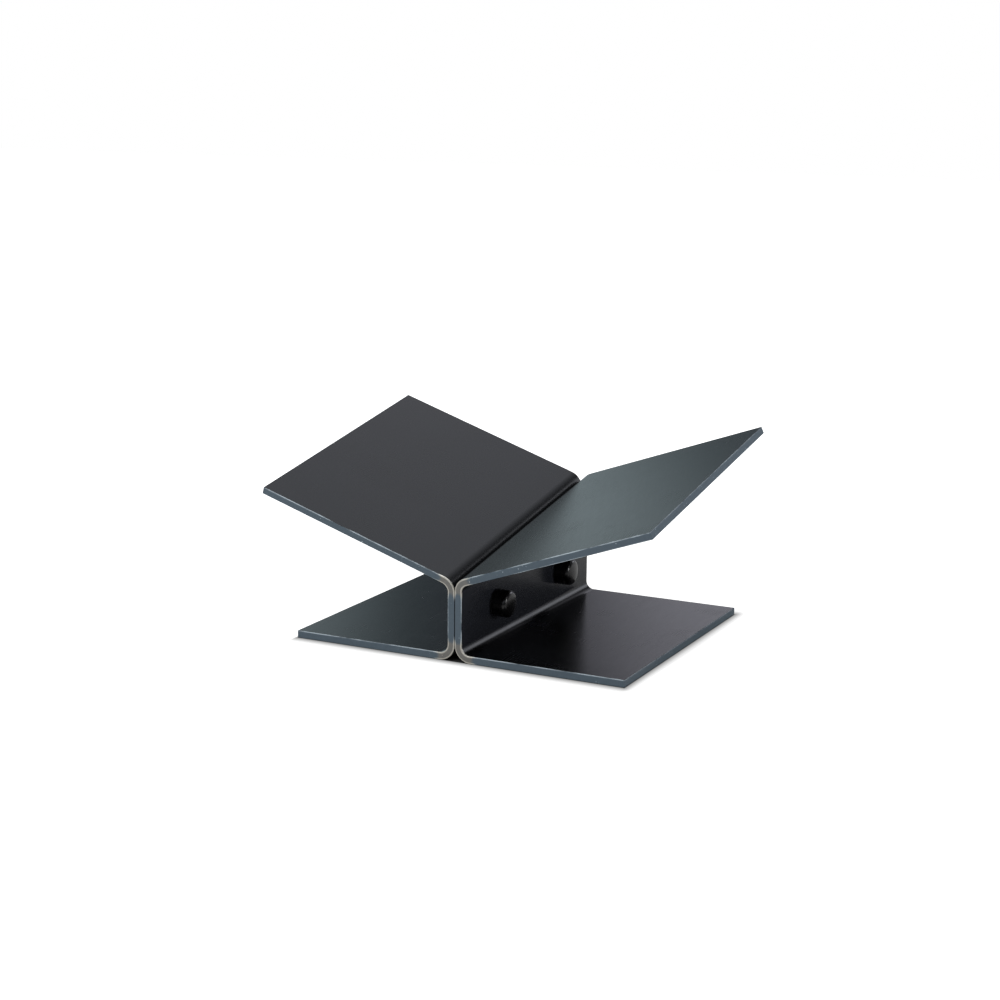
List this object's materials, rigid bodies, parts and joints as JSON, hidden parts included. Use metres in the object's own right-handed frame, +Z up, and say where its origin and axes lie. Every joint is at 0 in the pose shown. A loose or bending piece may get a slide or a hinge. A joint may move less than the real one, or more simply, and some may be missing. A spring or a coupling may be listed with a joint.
{
  "type": "bookstand",
  "caption": "Low bookstand of two bent steel plates clamped back to back by thumb screws, with a sloping V cradle that holds an open book.",
  "frame": {"origin": "on the table, on the middle plane between the two plates, halfway between the stand's foremost and rearmost points", "axes": "+Z up, +Y to the back, where the cradle is highest, +X to the right as the reader sees it"},
  "size_m": [0.2854, 0.2101, 0.1403],
  "materials": {
    "plate_steel": "satin blue-grey blackened steel, worn bright along its cut edges",
    "knob_black": "gloss black, turned end face",
    "stud_steel": "zinc-plated thread",
    "washer_black": "matt black nylon"
  },
  "bodies": {
    "stand": {"left_plate": "plate_steel", "right_plate": "plate_steel", "front_screw_head": "knob_black", "rear_screw_head": "knob_black", "front_stud": "stud_steel", "rear_stud": "stud_steel", "front_head_washer": "washer_black", "rear_head_washer": "washer_black"},
    "front_washer": {"front_nut_washer": "washer_black"},
    "front_nut": {"front_thumb_nut": "knob_black"},
    "rear_washer": {"rear_nut_washer": "washer_black"},
    "rear_nut": {"rear_thumb_nut": "knob_black"}
  },
  "joints": [
    {"name": "front_nut_travel", "type": "slide", "parent": "stand", "child": "front_washer", "axis": [1, 0, 0], "range_m": [0, 0.0065]},
    {"name": "front_nut_turn", "type": "hinge", "parent": "front_washer", "child": "front_nut", "pos_m": [0.01185, -0.04488, 0.0295], "axis": [1, 0, 0], "range_deg": [0, 2340]},
    {"name": "rear_nut_travel", "type": "slide", "parent": "stand", "child": "rear_washer", "axis": [1, 0, 0], "range_m": [0, 0.0065]},
    {"name": "rear_nut_turn", "type": "hinge", "parent": "rear_washer", "child": "rear_nut", "pos_m": [0.01185, 0.05512, 0.0295], "axis": [1, 0, 0], "range_deg": [0, 2340]}
  ],
  "couplings": [
    {"joint": "front_nut_travel", "follows": "front_nut_turn", "m_per_rad": 0.00015915},
    {"joint": "rear_nut_travel", "follows": "rear_nut_turn", "m_per_rad": 0.00015915}
  ]
}
